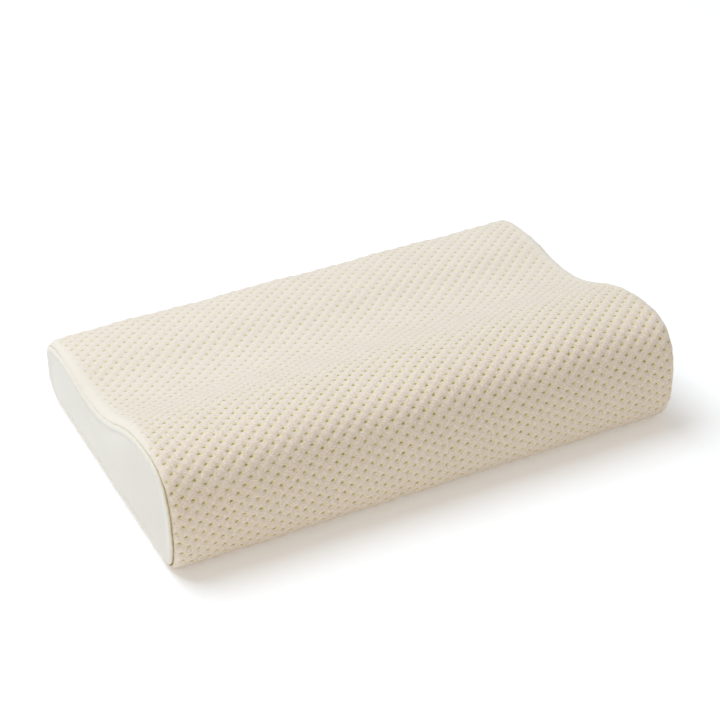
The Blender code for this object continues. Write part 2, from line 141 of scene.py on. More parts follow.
def on_layer(t, s, lift):
    """Points of the pillow's skin. t is the way along it from the middle, over the end and in to the
    crown of the end panel, s the way round it from the zip, and lift the height off the skin."""
    t, s, lift = np.broadcast_arrays(t, s, lift)
    size = np.abs(t)
    turn = np.clip((size - ROUND_X) / END_ROUND, 0, pi / 2)
    share = 1 - np.clip((size - RIM_REACH) / PANEL_REACH, 0, 1)
    inset = END_ROUND - (END_ROUND + lift) * np.cos(turn)
    s = s % GIRTH
    y, z, hy, hz = (np.interp(s, ALONG, row) for row in (*OUTLINE.T, *HEADING.T))
    long = np.hypot(hy, hz)
    y = y + hz / long * inset
    z = z - hy / long * inset
    x = np.minimum(size, ROUND_X) + (END_ROUND + lift) * np.sin(turn) + END_CROWN * (1 - share**2)
    y = CROWN_Y + (y - CROWN_Y) * share
    z = CROWN_Z + (z - CROWN_Z) * share
    return np.stack([np.sign(t) * x, y, z], -1)


def net(rows, columns, closed_rows=False, closed_columns=False):
    """The four-sided faces of a net of points, as rows of point numbers."""
    i = np.arange(rows if closed_rows else rows - 1)[:, None]
    j = np.arange(columns if closed_columns else columns - 1)[None, :]
    up, on = (i + 1) % rows, (j + 1) % columns
    corners = [i * columns + j, i * columns + on, up * columns + on, up * columns + j]
    return np.stack(np.broadcast_arrays(*corners), -1).reshape(-1, 4)


def make_piece(name, points, faces, finish, body, stands_for=(), weld=0):
    """A smooth piece from points and faces, which rides on a body and stands for CAD nodes."""
    mesh = bpy.data.meshes.new(name)
    corners = [list(map(int, face)) for face in faces]
    mesh.from_pydata(np.reshape(points, (-1, 3)).tolist(), [], corners)
    shape = bmesh.new()
    shape.from_mesh(mesh)
    if weld:
        bmesh.ops.remove_doubles(shape, verts=shape.verts, dist=weld)
    bmesh.ops.recalc_face_normals(shape, faces=shape.faces)
    shape.to_mesh(mesh)
    shape.free()
    mesh.shade_smooth()
    mesh.materials.append(finish)
    piece = bpy.data.objects.new(name, mesh)
    bpy.context.scene.collection.objects.link(piece)
    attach(piece, body)
    if stands_for:
        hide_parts(*stands_for)
    return piece


def start_finish(name, roughness, sheen=0.0):
    """A new material, with its shader and a function that adds a node and joins what it is given."""
    finish = bpy.data.materials.new(name)
    finish.use_nodes = True
    tree = finish.node_tree
    shader = tree.nodes["Principled BSDF"]
    shader.inputs["Roughness"].default_value = roughness
    shader.inputs["Sheen Weight"].default_value = sheen
    shader.inputs["Sheen Roughness"].default_value = 0.5
    shader.inputs["Specular IOR Level"].default_value = 0.3

    def add(kind, values=(), out=0, **settings):
        node = tree.nodes.new("ShaderNode" + kind)
        for setting, value in settings.items():
            setattr(node, setting, value)
        for key, value in dict(values).items():
            if isinstance(value, bpy.types.NodeSocket):
                tree.links.new(value, node.inputs[key])
            else:
                node.inputs[key].default_value = value
        return node.outputs[out]

    def join(value, socket):
        tree.links.new(value, shader.inputs[socket])

    return finish, add, join


def blend(add, share, first, second):
    """Two colours mixed by a share."""
    return add("Mix", {0: share, 6: first, 7: second}, out=2, data_type="RGBA")


def tone(red, green, blue):
    """A colour as the eye reads it, from 0 to 255, turned to the light it reflects."""
    return (*((c / 255) ** 2.2 for c in (red, green, blue)), 1.0)


def foam_finish():
    finish, add, join = start_finish("open_cell_foam", 0.95)
    place = add("NewGeometry")
    cells = add("TexVoronoi", {"Vector": place, "Scale": 900.0})
    patches = add("TexNoise", {"Vector": place, "Scale": 14.0, "Detail": 3.0})
    join(blend(add, patches, tone(246, 238, 208), tone(236, 224, 186)), "Base Color")
    join(add("Bump", {"Strength": 0.5, "Distance": 0.0004, "Height": cells}), "Normal")
    return finish


FULL_REACH = RIM_REACH + PANEL_REACH
half_t = np.concatenate([
    np.linspace(0, ROUND_X, 24, endpoint=False),
    np.linspace(ROUND_X, RIM_REACH, 5, endpoint=False),
    np.linspace(RIM_REACH, FULL_REACH, 12),
])
core_t = np.concatenate([-half_t[:0:-1], half_t])
round_s = np.linspace(0, GIRTH, 160, endpoint=False)
core = on_layer(core_t[:, None], round_s[None, :], -FOAM_DEPTH)
core_faces = net(len(core_t), len(round_s), closed_columns=True)
foam = make_piece("foam_block", core, core_faces, foam_finish(), "pillow", ["foam_core"], WELD)


# ------------------------------------------------------------------ liner
# A thin white tricot bag sewn round the core: one wrap and two end pieces. It keeps the foam clean
# and lets the knitted cover slide on and off.
LINER_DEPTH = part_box("liner_wrap")[0].z
LINER_KNIT = 0.0008
LINER_EDGE = 0.0006  # from the rim to each piece's raw edge


def tricot_finish():
    finish, add, join = start_finish("white_tricot", 0.8, 0.2)
    place = add("NewGeometry")
    wales = add("TexWave", {"Vector": place, "Scale": 260.0, "Distortion": 0.6},
                out=1, bands_direction="Y")
    patches = add("TexNoise", {"Vector": place, "Scale": 20.0})
    join(blend(add, patches, tone(244, 244, 241), tone(236, 236, 232)), "Base Color")
    join(add("Bump", {"Strength": 0.4, "Distance": 0.0002, "Height": wales}), "Normal")
    return finish


TRICOT = tricot_finish()


def liner_piece(name, reaches, node):
    """A piece of tricot between reaches along the pillow, closed at its edges."""
    t = np.concatenate([reaches, reaches[::-1]])
    outer = np.full(len(reaches), -LINER_DEPTH)
    lift = np.concatenate([outer, outer - LINER_KNIT])
    points = on_layer(t[:, None], round_s[None, :], lift[:, None])
    faces = net(len(t), len(round_s), closed_rows=True, closed_columns=True)
    return make_piece(name, points, faces, TRICOT, "pillow", [node], WELD)


liner_piece("liner_body", core_t[np.abs(core_t) <= RIM_REACH - LINER_EDGE], "liner_wrap")
for end, side in (("left", -1), ("right", 1)):
    end_t = side * np.linspace(RIM_REACH + LINER_EDGE, FULL_REACH, 12)
    liner_piece("liner_panel_" + end, end_t, "liner_end_" + end)


# ------------------------------------------------------------------ cover wrap
# One panel of double-faced jacquard knit over the front, top, back and underside. Pin tucks in a
# diamond lattice tie its two faces together, and the beige face puffs up between them.
TUCK_PITCH = 0.01515  # between the tucks of one row
ROW_REPEAT = 0.0106  # two rows, the second set half a pitch along
LEAN = 0.167  # how far the lattice leans as it goes round
PUFF = 0.0015  # height of the puffs between the tucks
RIDGE_BIAS = 0.18  # how much the ridges that run one way stand over those that run the other
PIT_DEPTH = 0.0006
PIT_SIZE = 0.0010
UNEVEN = (0.75, 1.2)  # range of the pits' depths, as shares
LYING_FLATTER = 0.2  # how much lower the puffs are on top, where the cloth is drawn
SHALLOWER = 0.3  # how much shallower the pits are there
TOP_PAINTED_PALER = 0.45  # how much paler the cloth and its pits are painted on top: painted highlight where the light falls strongest
SEAM_REACH = ROUND_X + END_ROUND * radians(56)
WRAP_END = SEAM_REACH - 0.0007
LIP_PLACE, LIP_SIZE = 0.0009, 0.0011  # the rolled lip, from the wrap's end
LIP_SHUT, LIP_OPEN = 0.0002, 0.0007  # its height where the seam is shut, and what opening adds
PUCKERS = (0.0085, 0.013, 0.021)  # lengths of the waves that the seam draws into the cloth
PUCKER, PUCKER_REACH = 0.00018, 0.007
SEAM_SHUT, SHUT_REACH = 0.00095, 0.002  # how far a shut seam draws its two edges together
SLOT_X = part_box("zip_coil_upper")[1].x + 0.006
SLOT_HALF = 0.0055
STITCH_FROM_SLOT = 0.003
STITCH_DIP, DIP_SIZE = 0.00045, 0.0009  # how deep the hem's stitches press in, and how widely
CLOSING, CLOSING_SIZE = 0.0011, 0.0011  # the same for the seam that goes on past the slot
WOBBLES = (0.05, 0.083, 0.13)  # lengths of the waves of the foam under the cloth
WOBBLE = 0.00045

rng = np.random.default_rng(7)


def ripple(t, s, lengths, size):
    """A gentle unevenness made of waves of the given lengths, each in its own direction."""
    total = 0
    for length in lengths:
        turn, start = rng.uniform(0, pi), rng.uniform(0, 2 * pi)
        total = total + np.sin(2 * pi * (t * cos(turn) + s * sin(turn)) / length + start)
    return size * total / len(lengths) ** 0.5


def smooth_step(low, high, value):
    share = np.clip((value - low) / (high - low), 0, 1)
    return share * share * (3 - 2 * share)


def openness(s):
    """How far the end seam stands open, from 1 down the front to nearly closed at the valley."""
    knots = [0, KNOT_S["sole_back"], KNOT_S["sole_front"], KNOT_S["front"], KNOT_S["front"] + 0.055,
             KNOT_S["crest"], KNOT_S["valley"], KNOT_S["lobe"], GIRTH]
    shares = [0.15, 0.4, 0.9, 1, 1, 0.35, 0.05, 0.05, 0.15]
    return np.interp(s % GIRTH, knots, shares)


def plain_width(s):
    """Width of the smooth band beside an end seam: wide where the cloth is drawn round the valley."""
    knots = [0, KNOT_S["sole_back"], KNOT_S["sole_front"], KNOT_S["front"], KNOT_S["front"] + 0.06,
             KNOT_S["crest"], KNOT_S["crest"] + 0.07, KNOT_S["valley"], KNOT_S["lobe"],
             KNOT_S["band_top"], GIRTH]
    millimetres = [4, 2, 2, 1.3, 1.3, 3, 10, 13, 11, 6, 4]
    return np.interp(s, knots, millimetres) * 0.001


# The sheet is knitted flat. Its net follows the lattice, so that every tuck has a point of its own.
def cell_lines(pitch, near):
    """Places of the net's lines in one cell: at its two tucks and this near on either side of them."""
    return np.array([0, near, pitch / 2 - near, pitch / 2, pitch / 2 + near, pitch - near])


cell_t, cell_s = cell_lines(TUCK_PITCH, 0.0020), cell_lines(ROW_REPEAT, 0.00135)
first_cell = int(-WRAP_END / TUCK_PITCH) - 2
last_cell = int((WRAP_END + LEAN * GIRTH) / TUCK_PITCH) + 2
column_t = (np.arange(first_cell, last_cell)[:, None] * TUCK_PITCH + cell_t).ravel()
row_s = (np.arange(-1, int(GIRTH / ROW_REPEAT) + 2)[:, None] * ROW_REPEAT + cell_s).ravel()
flat_s, flat_t = np.meshgrid(row_s, column_t, indexing="ij")
flat = np.stack([flat_t - LEAN * flat_s, flat_s, 0 * flat_s], -1)
cloth_mesh = bpy.data.meshes.new("knit_flat")
cloth_mesh.from_pydata(flat.reshape(-1, 3).tolist(), [], net(len(row_s), len(column_t)).tolist())
cloth = bmesh.new()
cloth.from_mesh(cloth_mesh)


def cut(place, direction, within=None):
    """Cuts the flat sheet along a line, all of it or the faces within a test, and keeps both sides."""
    faces = [f for f in cloth.faces if within is None or within(f.calc_center_median())]
    around = list({e for f in faces for e in f.edges} | {v for f in faces for v in f.verts}) + faces
    bmesh.ops.bisect_plane(cloth, geom=around, dist=WELD, plane_co=place, plane_no=direction)


def drop(test):
    dropped = [f for f in cloth.faces if test(f.calc_center_median())]
    bmesh.ops.delete(cloth, geom=dropped, context="FACES")


def in_slot_band(c):
    return c.y < SLOT_HALF or c.y > GIRTH - SLOT_HALF


for line in (-WRAP_END, WRAP_END):
    cut((line, 0, 0), (1, 0, 0))
for line in (0, SLOT_HALF, GIRTH - SLOT_HALF, GIRTH):
    cut((0, line, 0), (0, 1, 0))
drop(lambda c: abs(c.x) > WRAP_END or not 0 < c.y < GIRTH)
for line in (-SLOT_X, SLOT_X):
    cut((line, 0, 0), (1, 0, 0), in_slot_band)
drop(lambda c: in_slot_band(c) and abs(c.x) < SLOT_X)
bmesh.ops.delete(cloth, geom=[v for v in cloth.verts if not v.link_faces], context="VERTS")

# Each raw edge is turned under in a rounded fold: rings of points beyond the edge, given as how far
# out and how high each lies. The end seams have a small rolled lip, and the zip's slot a flat hem.
# Beyond the slot's ends the two long edges are sewn together and turn straight in.
SEAM_FOLD = ((0.00012, 0.00042), (0.00030, 0.00022), (0.00038, -0.0004), (0.0001, -0.0010),
             (-0.0012, -0.0013))
SLOT_FOLD = ((0.0002, -0.0001), (0.00035, -0.0006), (0.0003, -0.0013), (0.0, -0.0019),
             (-0.0015, -0.0021))
CLOSE_FOLD = ((0.00002, -0.0014), (-0.0004, -0.0019))
cloth.verts.index_update()
points = [(v.co.x, v.co.y) for v in cloth.verts]
folds = [0.0] * len(points)
is_fold = [0.0] * len(points)
faces = [[v.index for v in f.verts] for f in cloth.faces]


def fold_under(edges, outward, fold):
    """Adds a fold along open edges. outward gives the direction off the sheet at a point of it."""
    rings = {}
    for edge in edges:
        for v in edge.verts:
            if v.index not in rings:
                way = outward(v.co)
                rings[v.index] = [v.index]
                for out, lift in fold:
                    rings[v.index].append(len(points))
                    points.append((v.co.x + way[0] * out, v.co.y + way[1] * out))
                    folds.append(lift)
                    is_fold.append(1.0)
    for edge in edges:
        a, b = (rings[v.index] for v in edge.verts)
        faces.extend([a[k], b[k], b[k + 1], a[k + 1]] for k in range(len(fold)))


def at_seam(c):
    return abs(abs(c.x) - WRAP_END) < WELD


def at_slot_end(c):
    return abs(abs(c.x) - SLOT_X) < WELD


def at_slot_side(c):
    return abs(min(c.y, GIRTH - c.y) - SLOT_HALF) < WELD


def at_closing(c):
    return min(c.y, GIRTH - c.y) < WELD


def seam_way(c):
    return np.sign(c.x), 0


def closing_way(c):
    return 0, -1 if c.y < GIRTH / 2 else 1


def slot_way(c):
    """Into the slot, from its long edges and its two ends."""
    return -np.sign(c.x) if at_slot_end(c) else 0, closing_way(c)[1] if at_slot_side(c) else 0


def open_edges(*tests):
    """The sheet's open edges that lie along one of the given lines."""
    lone = [e for e in cloth.edges if len(e.link_faces) == 1]
    return [e for e in lone if any(all(test(v.co) for v in e.verts) for test in tests)]


fold_under(open_edges(at_seam), seam_way, SEAM_FOLD)
fold_under(open_edges(at_slot_end, at_slot_side), slot_way, SLOT_FOLD)
fold_under(open_edges(at_closing), closing_way, CLOSE_FOLD)

# The flat sheet's lattice, its distance from each seam, and where it is quilted and where plain.
t, s = np.array(points).T
folds, is_fold = np.array(folds), np.array(is_fold)
tuck_t = (t + LEAN * s) / TUCK_PITCH
tuck_s = s / ROW_REPEAT
to_seam = WRAP_END - np.abs(t)
from_close = np.minimum(s, GIRTH - s)
from_slot = np.maximum(from_close - SLOT_HALF, np.abs(t) - SLOT_X)
band = plain_width(s)
quilted = smooth_step(band * 0.4, band * 1.6 + 0.0015, to_seam) * smooth_step(0.004, 0.009, from_slot)
past_crest = smooth_step(KNOT_S["crest"] - 0.02, KNOT_S["valley"], s)
on_top = past_crest * smooth_step(GIRTH, KNOT_S["band_top"] - 0.02, s)

# The puffs, and a pit at the nearest tuck of the lattice's two sets. No two tucks are drawn alike.
rising, falling = np.cos(2 * pi * (tuck_t + tuck_s)), np.cos(2 * pi * (tuck_t - tuck_s))
puffs = 0.5 - 0.25 * (1 - RIDGE_BIAS) * rising - 0.25 * (1 + RIDGE_BIAS) * falling
tucks = [(np.round(tuck_t - h) + h, np.round(tuck_s - h) + h) for h in (0, 0.5)]
away = [np.hypot((tuck_t - i) * TUCK_PITCH, (tuck_s - j) * ROW_REPEAT) for i, j in tucks]
drawn = rng.uniform(*UNEVEN, (400, 400))
depth = np.where(away[0] < away[1], *(drawn[i.astype(int), j.astype(int)] for i, j in tucks))
pits = depth * PIT_DEPTH * (1 - SHALLOWER * on_top) * np.exp(-(np.minimum(*away) / PIT_SIZE) ** 2)
quilting = PUFF * (1 - LYING_FLATTER * on_top) * (puffs - 0.45) * (0.8 + 0.2 * depth) - pits

# The lip and puckers of the end seams, the hem's stitching and the seam that goes on past the slot.
lip = (LIP_SHUT + LIP_OPEN * openness(s)) * np.exp(-((to_seam - LIP_PLACE) / LIP_SIZE) ** 2)
pucker = ripple(0 * t, s, PUCKERS, PUCKER) * np.exp(-np.maximum(to_seam, 0) / PUCKER_REACH)
stitch_dip = STITCH_DIP * np.exp(-((from_slot - STITCH_FROM_SLOT) / DIP_SIZE) ** 2)
closing = CLOSING * np.exp(-(from_close / CLOSING_SIZE) ** 2) * (np.abs(t) > SLOT_X)
lift = quilted * quilting + ripple(t, s, WOBBLES, WOBBLE * smooth_step(0, 0.02, from_close))
lift = np.where(is_fold > 0, folds + lip * (folds > -0.0005) * 0.6, lift + lip) + pucker
lift -= (stitch_dip * (from_slot > 0) + closing) * (is_fold == 0)
shut = SEAM_SHUT * (1 - openness(s)) * np.exp(-np.maximum(to_seam, 0) / SHUT_REACH)
skin = on_layer(t + np.sign(t) * shut * (folds > -0.0009), s, lift)
skin[:, 2] = np.maximum(skin[:, 2], 0.0)


def knit_finish():
    finish, add, join = start_finish("dotted_knit", 0.88, 0.35)
    knit = add("Attribute", attribute_name="knit", out=1)
    parts = add("SeparateXYZ", {0: knit}, out=0).node
    spot = add("CombineXYZ", {0: parts.outputs[0], 1: parts.outputs[1]})
    cell = (TUCK_PITCH, ROW_REPEAT, 0)
    half = (0.5, 0.5, 0)

    def from_tuck(shift):
        """The way from the nearest tuck of one of the lattice's two sets, in metres."""
        moved = add("VectorMath", {0: spot, 1: shift}, operation="ADD")
        inside = add("VectorMath", {0: moved}, operation="FRACTION")
        centred = add("VectorMath", {0: inside, 1: half}, operation="SUBTRACT")
        return add("VectorMath", {0: centred, 1: cell}, operation="MULTIPLY")

    def length(vector):
        return add("VectorMath", {0: vector}, out=1, operation="LENGTH")

    first, second = from_tuck(half), from_tuck((0, 0, 0))
    closer = add("Math", {0: length(second), 1: length(first)}, operation="LESS_THAN")
    way = add("Mix", {0: closer, 4: first, 5: second}, out=1, data_type="VECTOR")
    per_cell = (1 / TUCK_PITCH, 1 / ROW_REPEAT, 0)
    in_cells = add("VectorMath", {0: way, 1: per_cell}, operation="MULTIPLY")
    home = add("VectorMath", {0: spot, 1: in_cells}, operation="SUBTRACT")
    number = add("VectorMath", {0: home, 1: (0.5, 0.5, 1)}, operation="SNAP")
    chance = add("TexWhiteNoise", {"Vector": number}, noise_dimensions="3D").node
    in_metres = add("VectorMath", {0: spot, 1: cell}, operation="MULTIPLY")
    fray = add("TexNoise", {"Vector": in_metres, "Scale": 900.0, "Detail": 2.0}, out=1)
    frayed = add("VectorMath", {0: fray, 1: half}, operation="SUBTRACT")
    fraying = (0.0034, 0.0034, 0)
    rough_way = add("VectorMath", {0: frayed, 1: fraying, 2: way}, operation="MULTIPLY_ADD")

    def dab(centre, size, edge):
        """A soft oval of the given centre and half sizes on the cloth, as a share from 0 to 1."""
        off = add("VectorMath", {0: rough_way, 1: (*centre, 0)}, operation="SUBTRACT")
        turned = add("VectorRotate", {"Vector": off, "Angle": radians(-14)}, rotation_type="Z_AXIS")
        per_size = (1 / size[0], 1 / size[1], 0)
        scaled = add("VectorMath", {0: turned, 1: per_size}, operation="MULTIPLY")
        ends = {0: length(scaled), 1: 1 + edge, 2: 1 - edge}
        return add("MapRange", ends, interpolation_type="SMOOTHSTEP")

    # Painted shade: a faint brownish oval darkens the dip round each tuck.
    tuck_dip_painted_shade = dab((0.0002, 0), (0.0036, 0.0020), 0.7)
    olive = dab((-0.0001, 0), (0.0016, 0.0008), 0.6)
    # Pale gold thread round each tuck, set and brightened on the pit's lit sides: partly the thread's
    # colour, partly painted highlight.
    gold_and_glint_right = dab((0.0018, 0.0003), (0.0012, 0.0007), 0.5)
    gold_and_glint_low = dab((0.0002, -0.0012), (0.0014, 0.0005), 0.5)
    gold_and_glint_over = dab((-0.0008, 0.0011), (0.0012, 0.0004), 0.5)
    # One minus the plain share: the dots vanish in the plain bands, and fade on top as painted highlight.
    shown = add("Math", {0: 1.0, 1: parts.outputs[2]}, operation="SUBTRACT")

    def faded(share, strength):
        weak = add("MapRange", {0: chance.outputs[0], 3: strength * 0.6, 4: strength})
        product = add("Math", {0: share, 1: weak}, operation="MULTIPLY")
        return add("Math", {0: product, 1: shown}, operation="MULTIPLY")

    drift = add("TexNoise", {"Vector": add("NewGeometry"), "Scale": 9.0, "Detail": 2.0})
    ground = blend(add, drift, tone(229, 214, 198), tone(223, 207, 190))
    slant = (0, 0, radians(-40))
    streak = add("Mapping", {"Vector": in_metres, "Rotation": slant, "Scale": (420.0, 1100.0, 1.0)})
    fleck = add("TexNoise", {"Vector": streak, "Scale": 1.0, "Detail": 2.0})
    pale = add("MapRange", {0: fleck, 1: 0.45, 2: 0.7, 3: 0.0, 4: 0.7})
    ground = blend(add, pale, ground, tone(250, 243, 234))
    dark = add("MapRange", {0: fleck, 1: 0.5, 2: 0.28, 3: 0.0, 4: 0.4})
    ground = blend(add, dark, ground, tone(198, 182, 163))
    # The knit attribute's third share blends to the plain tone: the real plain bands beside the seams and
    # slot, and on top a painted highlight that pales the cloth.
    ground = blend(add, parts.outputs[2], ground, tone(233, 224, 211))
    ground = blend(add, faded(tuck_dip_painted_shade, 0.45), ground, tone(210, 194, 156))
    ground = blend(add, faded(gold_and_glint_right, 1.0), ground, tone(242, 230, 176))
    ground = blend(add, faded(gold_and_glint_low, 0.9), ground, tone(236, 223, 168))
    ground = blend(add, faded(gold_and_glint_over, 0.8), ground, tone(232, 219, 170))
    join(blend(add, faded(olive, 1.0), ground, tone(154, 142, 84)), "Base Color")
    wales = add("TexWave", {"Vector": in_metres, "Scale": 330.0, "Distortion": 1.5, "Detail": 1.0}, out=1)
    courses = add("TexWave", {"Vector": in_metres, "Scale": 410.0, "Distortion": 1.5},
                  out=1, bands_direction="Y")
    stitches = add("Math", {0: wales, 1: courses}, operation="MULTIPLY")
    fuzz = add("Math", {0: fleck, 1: stitches}, operation="ADD")
    join(add("Bump", {"Strength": 0.35, "Distance": 0.0002, "Height": fuzz}), "Normal")
    return finish


wrap = make_piece("cover_wrap_knit", skin, faces, knit_finish(), "pillow", ["cover_wrap"])
knit = wrap.data.attributes.new("knit", "FLOAT_VECTOR", "POINT")
# Plain share: the plain bands beside the seams and slot, raised on top as painted highlight.
plain = np.maximum(np.maximum(1 - quilted, is_fold), TOP_PAINTED_PALER * on_top)
knit.data.foreach_set("vector", np.stack([tuck_t, tuck_s, plain], -1).ravel())
cloth.free()
bpy.data.meshes.remove(cloth_mesh)


# ------------------------------------------------------------------ end panels
# A plain off-white knit panel closes each end of the cover. Its edge is turned in under the wrap's,
# so that it rolls over softly beside the seam, and the foam behind it gives it a slight crown.
PANEL_START = SEAM_REACH + 0.0009
# Rings of the rolled edge, given as how far in from the start and how high each lies.
PANEL_ROLL = ((-0.0003, -0.0018), (0.00005, -0.0012), (0.00020, -0.0005), (0.0006, 0.0001),
              (0.0013, 0.0006), (0.0024, 0.0009), (0.0038, 0.0009), (0.0056, 0.0006), (0.0080, 0.0002))
PANEL_RINGS = 40
PANEL_ROUND = 440
PANEL_PUCKERS = (0.009, 0.0145, 0.024)
PANEL_PUCKER, PANEL_PUCKER_REACH = 0.00022, 0.008
SLACKS = (0.05, 0.08, 0.13)  # lengths of the waves of the slack cloth inside the seam
SLACK = 0.0004


def plain_finish():
    finish, add, join = start_finish("plain_knit", 0.85, 0.3)
    place = add("NewGeometry")
    drift = add("TexNoise", {"Vector": place, "Scale": 16.0, "Detail": 3.0})
    ground = blend(add, drift, tone(224, 221, 213), tone(217, 214, 205))
    # Painted highlight: a lighter, warmer band along the rolled edge beside the seam.
    roll = add("Attribute", attribute_name="roll", out=2)
    ground = blend(add, roll, ground, tone(233, 226, 212))
    rim = add("Attribute", attribute_name="rim", out=2)
    ground = blend(add, rim, ground, tone(196, 178, 120))
    fleck = add("TexNoise", {"Vector": place, "Scale": 1400.0, "Detail": 1.0})
    pale = add("MapRange", {0: fleck, 1: 0.4, 2: 0.8, 3: 0.0, 4: 0.5})
    join(blend(add, pale, ground, tone(232, 230, 223)), "Base Color")
    wales = add("TexWave", {"Vector": place, "Scale": 420.0, "Distortion": 1.0},
                out=1, bands_direction="Y")
    courses = add("TexWave", {"Vector": place, "Scale": 520.0, "Distortion": 1.0},
                  out=1, bands_direction="Z")
    stitches = add("Math", {0: wales, 1: courses}, operation="MULTIPLY")
    join(add("Bump", {"Strength": 0.3, "Distance": 0.00012, "Height": stitches}), "Normal")
    return finish


PLAIN = plain_finish()
panel_s = np.linspace(0, GIRTH, PANEL_ROUND, endpoint=False)
roll_out, roll_lift = np.array(PANEL_ROLL).T
inner_t = np.linspace(PANEL_START + roll_out[-1] + 0.002, FULL_REACH, PANEL_RINGS)
panel_t = np.concatenate([PANEL_START + roll_out, inner_t])[:, None]
roll = np.concatenate([roll_lift, np.zeros(PANEL_RINGS)])[:, None]
in_from_seam = np.maximum(panel_t - PANEL_START, 0)
around = panel_s[None, :]
flat_y, flat_z = on_layer(panel_t, around, 0)[..., 1:].transpose(2, 0, 1)
shut = SEAM_SHUT * (1 - openness(around)) * np.exp(-in_from_seam / SHUT_REACH)
drawn = np.clip((0.6 - openness(around)) / 0.4, 0, 1)  # 1 where the seam is shut tight
rolled = roll + drawn * np.maximum(-0.0002 - roll, 0)
gold_edge = (1 - smooth_step(0.0001, 0.0014, panel_t - PANEL_START)) * (0.1 + 0.9 * openness(around))
# Painted highlight on the rolled edge, fading out between 1 and 7.5 mm in from the seam.
roll_painted_highlight = 0.8 * (1 - smooth_step(0.001, 0.0075, in_from_seam)) + 0 * around
panel_faces = net(len(panel_t), PANEL_ROUND, closed_columns=True)
panels = {}
for end, side in (("left", -1), ("right", 1)):
    puckers = ripple(0 * around, around, PANEL_PUCKERS, PANEL_PUCKER)
    puckers = puckers * np.exp(-in_from_seam / PANEL_PUCKER_REACH)
    slack = ripple(flat_y, flat_z, SLACKS, SLACK) * smooth_step(0.002, 0.02, in_from_seam)
    height = rolled + (puckers + slack) * (roll > -0.0004)
    made = on_layer(side * (panel_t - shut), around, height)
    made[..., 2] = np.maximum(made[..., 2], 0.0)
    panel = make_piece("cover_panel_" + end, made, panel_faces, PLAIN, "pillow",
                       ["cover_end_" + end])
    for name, share in (("rim", gold_edge), ("roll", roll_painted_highlight)):
        tint = panel.data.attributes.new(name, "FLOAT", "POINT")
        tint.data.foreach_set("value", share.ravel())
    welded = bmesh.new()
    welded.from_mesh(panel.data)
    bmesh.ops.remove_doubles(welded, verts=welded.verts, dist=WELD)
    welded.to_mesh(panel.data)
    welded.free()
    panels[end] = panel


# ------------------------------------------------------------------ end seams
# Olive-gold spun thread closes the cover at each end. Its lockstitches lie in the groove between
# the wrap's lip and the panel's rolled edge, with a thicker knot at every third stitch where the seam
# stands open.
SEAM_STITCH = 0.0030
SEAM_GAP = 0.0003
SEAM_THREAD = 0.00045  # half the thread's thickness
SEAM_LIFT = -0.00025
SEAM_SUNK = 0.0012  # how much deeper the thread lies where the seam is shut
STITCH_SINK = 0.0008  # how deep a stitch's ends go into the cloth
SEAM_WANDER, WANDER_LENGTH = 0.00012, 0.0107  # how far and how often the line strays sideways
KNOT_SIZE = 0.7  # how much thicker the thread is at a knot


def thread(name, lines, ups, radius, finish, stands_for, sides=6):
    """A piece made of threads. lines holds each thread's middle points, and ups a way off it."""
    lines = np.asarray(lines, float)
    heading = np.gradient(lines, axis=1)
    heading /= np.linalg.norm(heading, axis=-1, keepdims=True)
    across = np.cross(heading, np.broadcast_to(ups, lines.shape))
    across /= np.linalg.norm(across, axis=-1, keepdims=True)
    off = np.cross(across, heading)
    angles = np.arange(sides) * 2 * pi / sides
    radius = np.broadcast_to(radius, lines.shape[:2])[..., None, None]
    ring = across[:, :, None] * np.cos(angles)[:, None] + off[:, :, None] * np.sin(angles)[:, None]
    tubes = lines[:, :, None] + ring * radius
    count, long = lines.shape[:2]
    one = net(long, sides, closed_columns=True)
    faces = (np.arange(count)[:, None, None] * long * sides + one).reshape(-1, 4).tolist()
    for k in range(count):
        start = k * long * sides
        faces.append(range(start, start + sides))
        faces.append(range(start + (long - 1) * sides, start + long * sides))
    return make_piece(name, tubes, faces, finish, "pillow", stands_for)


def thread_finish(name, colour, shade):
    finish, add, join = start_finish(name, 0.6, 0.4)
    place = add("NewGeometry")
    plies = add("TexWave", {"Vector": place, "Scale": 700.0, "Distortion": 2.0},
                out=1, bands_direction="DIAGONAL")
    fibre = add("TexNoise", {"Vector": place, "Scale": 160.0, "Detail": 4.0, "Roughness": 0.7})
    join(blend(add, fibre, colour, shade), "Base Color")
    join(add("Bump", {"Strength": 0.5, "Distance": 0.0001, "Height": plies}), "Normal")
    return finish


def stitch_arc(count):
    """Shares along a stitch, and how far each point sinks at its two ends."""
    share = np.linspace(0, 1, count)
    return share, np.abs(2 * share - 1) ** 4


GOLD = thread_finish("olive_gold_thread", tone(200, 176, 132), tone(160, 142, 84))
share, sink = stitch_arc(7)
count = int(GIRTH / (SEAM_STITCH + SEAM_GAP))
starts = np.arange(count)[:, None] * GIRTH / count
for end, side in (("left", -1), ("right", 1)):
    s = starts + share * SEAM_STITCH
    knotted = (np.arange(count) % 3 == 0)[:, None] * (openness(s) > 0.5)
    t = SEAM_REACH + SEAM_WANDER * (1 + np.sin(2 * pi * s / WANDER_LENGTH))
    lift = SEAM_LIFT - SEAM_SUNK * (1 - openness(s)) - STITCH_SINK * sink
    middle = on_layer(side * t, s, lift)
    ups = on_layer(side * t, s, lift + 0.001) - middle
    radius = SEAM_THREAD * (1 + KNOT_SIZE * knotted) * (1 - 0.35 * sink)
    thread("seam_stitches_" + end, middle, ups, radius, GOLD, ["seam_thread_" + end])


